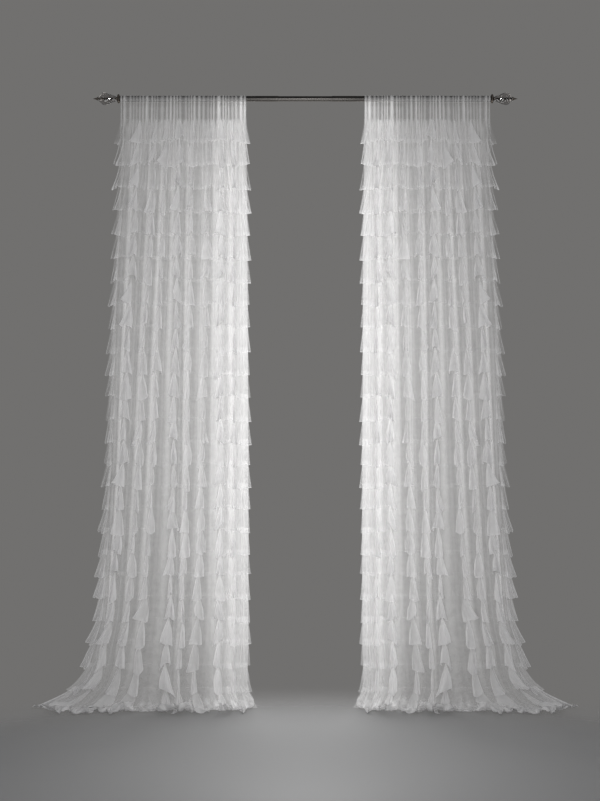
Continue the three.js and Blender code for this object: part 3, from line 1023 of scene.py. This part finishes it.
def sheer_material(name, weave, see_through, closing, tint):
    """Sheer chiffon: threads that pass light from both sides, with more cover where it is seen edge on."""
    material, tree, output = blank_material(name)
    flat = node(tree, "ShaderNodeUVMap", uv_map="flat")
    cloth = node(tree, "ShaderNodeGroup", {"Thread pitch": THREAD_PITCH}, node_tree=weave)
    join(tree, flat.outputs[0], cloth.inputs["Flat"])
    slub = maths(tree, "MULTIPLY_ADD", cloth.outputs["Slub"], -SLUB_SPREAD, see_through + SLUB_SPREAD / 2)
    gap = maths(tree, "MULTIPLY_ADD", cloth.outputs["Cover"], -GAP_SPREAD, GAP_WIDEST)
    facing = node(tree, "ShaderNodeLayerWeight", {"Blend": 0.5})
    slant = maths(tree, "MAXIMUM", maths(tree, "SUBTRACT", 1.0, facing.outputs["Facing"]), EDGE_ON_LIMIT)
    # The cover attribute holds the cloth's fullness and also painted shade: under the hems, in the troughs,
    # in the foot's creases and at the panel's foot
    full = node(tree, "ShaderNodeAttribute", attribute_name="cover_and_shade")
    thinned = maths(tree, "MULTIPLY_ADD", full.outputs["Fac"], -closing, 1.0)
    open_share = maths(tree, "MULTIPLY", maths(tree, "ADD", slub, gap), thinned)
    passed = maths(tree, "POWER", open_share, maths(tree, "DIVIDE", 1.0, slant))
    bump = node(tree, "ShaderNodeBump", {"Strength": 0.25, "Distance": 0.0004})
    join(tree, cloth.outputs["Height"], bump.inputs["Height"])
    face = node(tree, "ShaderNodeBsdfPrincipled", {
        "Base Color": (*tint, 1), "Roughness": 0.8, "Specular IOR Level": 0.25,
        "Sheen Weight": 0.25, "Sheen Roughness": 0.4,
    })
    join(tree, bump.outputs[0], face.inputs["Normal"])
    glow = node(tree, "ShaderNodeBsdfTranslucent", {"Color": (*tint, 1)})
    clear = node(tree, "ShaderNodeBsdfTransparent")
    body = mixed(tree, GLOW_SHARE, face.outputs[0], glow.outputs[0])
    join(tree, mixed(tree, passed, body, clear.outputs[0]), output.inputs[0])
    return material


def polish_group():
    """Fine drawn lines and soft smudges along the rod's length, for the shine of metal."""
    inputs = (("Place", "NodeSocketVector"),)
    tree, start, end = group_with("drawn_polish", inputs, ("Smudge", "Line"))
    stretch = node(tree, "ShaderNodeMapping", {"Scale": (6, 900, 900)})
    join(tree, start.outputs["Place"], stretch.inputs["Vector"])
    for title, scale, source in (("Smudge", 22, start.outputs["Place"]), ("Line", 1, stretch.outputs[0])):
        noise = node(tree, "ShaderNodeTexNoise", {"Scale": scale, "Detail": 5})
        join(tree, source, noise.inputs["Vector"])
        join(tree, noise.outputs["Fac"], end.inputs[title])
    return tree


SMUDGE_ROUGHNESS = 0.2


def metal_material(name, polish, dark, light, roughness):
    material, tree, output = blank_material(name)
    place = node(tree, "ShaderNodeTexCoord")
    marks = node(tree, "ShaderNodeGroup", node_tree=polish)
    join(tree, place.outputs["Object"], marks.inputs["Place"])
    tone = node(tree, "ShaderNodeMix", {"A": (*dark, 1), "B": (*light, 1)}, data_type="RGBA")
    join(tree, marks.outputs["Smudge"], tone.inputs["Factor"])
    bump = node(tree, "ShaderNodeBump", {"Strength": 0.06, "Distance": 0.0002})
    join(tree, marks.outputs["Line"], bump.inputs["Height"])
    shine = {"Metallic": 1.0, "Specular Tint": (0.2, 0.19, 0.18, 1)}
    shader = node(tree, "ShaderNodeBsdfPrincipled", shine)
    join(tree, tone.outputs["Result"], shader.inputs["Base Color"])
    smudged = (marks.outputs["Smudge"], SMUDGE_ROUGHNESS, roughness - SMUDGE_ROUGHNESS / 2)
    join(tree, maths(tree, "MULTIPLY_ADD", *smudged), shader.inputs["Roughness"])
    join(tree, bump.outputs[0], shader.inputs["Normal"])
    join(tree, shader.outputs[0], output.inputs[0])
    return material


def glass_material(name, tint):
    material, tree, output = blank_material(name)
    clear = {"Base Color": (*tint, 1), "Roughness": 0.02, "IOR": 1.52, "Transmission Weight": 1.0}
    shader = node(tree, "ShaderNodeBsdfPrincipled", clear)
    join(tree, shader.outputs[0], output.inputs[0])
    return material


THREAD_ROUGHNESS = {"least": 0.45, "spread": 0.3}


def thread_material(name, tint):
    material, tree, output = blank_material(name)
    place = node(tree, "ShaderNodeTexCoord")
    twist = node(tree, "ShaderNodeTexNoise", {"Scale": 2500})
    join(tree, place.outputs["Object"], twist.inputs["Vector"])
    shader = node(tree, "ShaderNodeBsdfPrincipled", {"Base Color": (*tint, 1)})
    twisted = (twist.outputs["Fac"], THREAD_ROUGHNESS["spread"], THREAD_ROUGHNESS["least"])
    join(tree, maths(tree, "MULTIPLY_ADD", *twisted), shader.inputs["Roughness"])
    join(tree, shader.outputs[0], output.inputs[0])
    return material


# Dressing: pieces that replace the CAD nodes
def dress(piece, material, slot, *nodes):
    piece.data.materials.clear()
    piece.data.materials.append(material)
    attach(piece, "root")
    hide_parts(*nodes)


# Flat width and length of each cut cloth, along the folds as built
STITCH_ROW_SHARE = 0.45


def make_curtains(panel_cloth, ruffle_cloth, thread):
    base, base_cover_and_shade = panel_points()
    tiers = [ruffle_points(tier) for tier in range(1, TIERS + 1)]
    seams = [base[POCKET_TURNS + 1]]
    for points, _ in tiers:
        seams.append(points[0] * (1 - STITCH_ROW_SHARE) + points[1] * STITCH_ROW_SHARE)
    stitches = stitch_nodes()
    for side, mirrored in (("left", False), ("right", True)):
        panel = cloth_piece(f"cloth_panel_{side}", base, base_cover_and_shade, mirrored)
        dress(panel, panel_cloth, "chiffon_panel", f"panel_{side}")
        sewing = stitched(f"seam_stitches_{side}", seams, stitches, thread, mirrored)
        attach(sewing, "root")
        for tier, (points, full) in enumerate(tiers, start=1):
            ruffle = cloth_piece(f"cloth_ruffle_{side}_{tier:02d}", points, full, mirrored, len(points) - 2)
            dress(ruffle, ruffle_cloth, "chiffon_ruffle", f"ruffle_{side}_{tier:02d}")


# Stage: pale floor that fades into a grey surround, and soft lights
FLOOR_REACH = 3.4
FLOOR_SIDES = 96
FLOOR_GAP = 0.0005
FLOOR_OVAL = {"Location": (0, -1.35, -FLOOR_DROP), "Scale": (2.6, 1.75, 1)}
FLOOR_FADE = {"From Min": 0.55, "From Max": 1.0}
FLOOR_PAINT = {"Base Color": (0.32, 0.32, 0.32, 1), "Roughness": 0.8, "Specular IOR Level": 0.1}


def make_floor():
    points = []
    for step in range(FLOOR_SIDES):
        angle = 2 * math.pi * step / FLOOR_SIDES
        x, y = FLOOR_REACH * math.cos(angle), FLOOR_REACH * math.sin(angle)
        points.append((x, y, -FLOOR_DROP - FLOOR_GAP))
    mesh = bpy.data.meshes.new("floor")
    mesh.from_pydata(points, [], [list(range(FLOOR_SIDES))])
    floor = new_piece("floor", mesh)
    material, tree, output = blank_material("floor_paint")
    place = node(tree, "ShaderNodeTexCoord")
    oval = node(tree, "ShaderNodeMapping", FLOOR_OVAL, vector_type="TEXTURE")
    reach = node(tree, "ShaderNodeVectorMath", operation="LENGTH")
    fade = node(tree, "ShaderNodeMapRange", FLOOR_FADE, interpolation_type="SMOOTHERSTEP")
    paint = node(tree, "ShaderNodeBsdfPrincipled", FLOOR_PAINT)
    clear = node(tree, "ShaderNodeBsdfTransparent")
    join(tree, place.outputs["Object"], oval.inputs["Vector"])
    join(tree, oval.outputs[0], reach.inputs[0])
    join(tree, reach.outputs["Value"], fade.inputs["Value"])
    join(tree, mixed(tree, fade.outputs[0], paint.outputs[0], clear.outputs[0]), output.inputs[0])
    mesh.materials.append(material)


def area_light(name, place, aim, size, power, spread=180):
    data = bpy.data.lights.new(name, "AREA")
    data.shape = "RECTANGLE"
    data.size, data.size_y = size
    data.energy = power
    data.spread = math.radians(spread)
    light = bpy.data.objects.new(name, data)
    light.location = place
    light.rotation_euler = (Vector(aim) - Vector(place)).to_track_quat("-Z", "Y").to_euler()
    light.visible_camera = False
    bpy.context.scene.collection.objects.link(light)


SURROUND = {"seen": (0.165, 0.162, 0.158, 1), "fill": (0.24, 0.24, 0.245, 1)}
INNER_GLOW_X = 0.285


def make_lights():
    """The surround, and lights behind and in front; an inner glow lies behind each curtain's inner edge."""
    world = bpy.data.worlds.new("surround")
    world.use_nodes = True
    tree = world.node_tree
    seen = tree.nodes["Background"]
    seen.inputs[0].default_value = SURROUND["seen"]
    fill = node(tree, "ShaderNodeBackground", {"Color": SURROUND["fill"]})
    to_camera = node(tree, "ShaderNodeLightPath").outputs["Is Camera Ray"]
    mix = mixed(tree, to_camera, fill.outputs[0], seen.outputs[0])
    join(tree, mix, tree.nodes["World Output"].inputs[0])
    bpy.context.scene.world = world
    area_light("back_glow", place=(0, 0.55, -1.25), aim=(0, -1, -1.25), size=(0.8, 2.1), power=17)
    for side in (-1, 1):
        x = side * INNER_GLOW_X
        place, aim = (x, 0.10, -1.12), (x, -1, -1.12)
        area_light(f"inner_glow_{side}", place, aim, size=(0.16, 2.9), power=0.80, spread=70)
    area_light("middle_strip", place=(0, -1.3, -1.1), aim=(0, 0, -1.1), size=(0.3, 2.2), power=7)
    area_light("soft_front", place=(0, -2.4, -1.25), aim=(0, 0, -1.25), size=(1.4, 1.2), power=15.5)
    area_light("finial_spark", place=(0, -1.241, -0.173), aim=(0, 0, -0.173), size=(0.03, 0.03), power=0.2)


make_camera()
bpy.context.scene.cycles.transparent_max_bounces = 128
bpy.context.scene.view_settings.view_transform = "Standard"
weave = weave_group()
polish = polish_group()
make_curtains(
    sheer_material("chiffon_panel", weave, see_through=0.76, closing=0.6, tint=(0.86, 0.855, 0.85)),
    sheer_material("chiffon_ruffle", weave, see_through=0.93, closing=0.52, tint=(0.87, 0.865, 0.865)),
    thread_material("sewing_thread", tint=(0.82, 0.815, 0.80)),
)
rod_tones = {"dark": (0.045, 0.043, 0.041), "light": (0.095, 0.09, 0.085)}
finial_tones = {"dark": (0.14, 0.12, 0.105), "light": (0.22, 0.195, 0.17)}
make_rod(
    metal_material("rod_metal", polish, **rod_tones, roughness=0.25),
    metal_material("finial_metal", polish, **finial_tones, roughness=0.22),
    glass_material("finial_glass", tint=(0.36, 0.34, 0.32)),
)
make_floor()
make_lights()
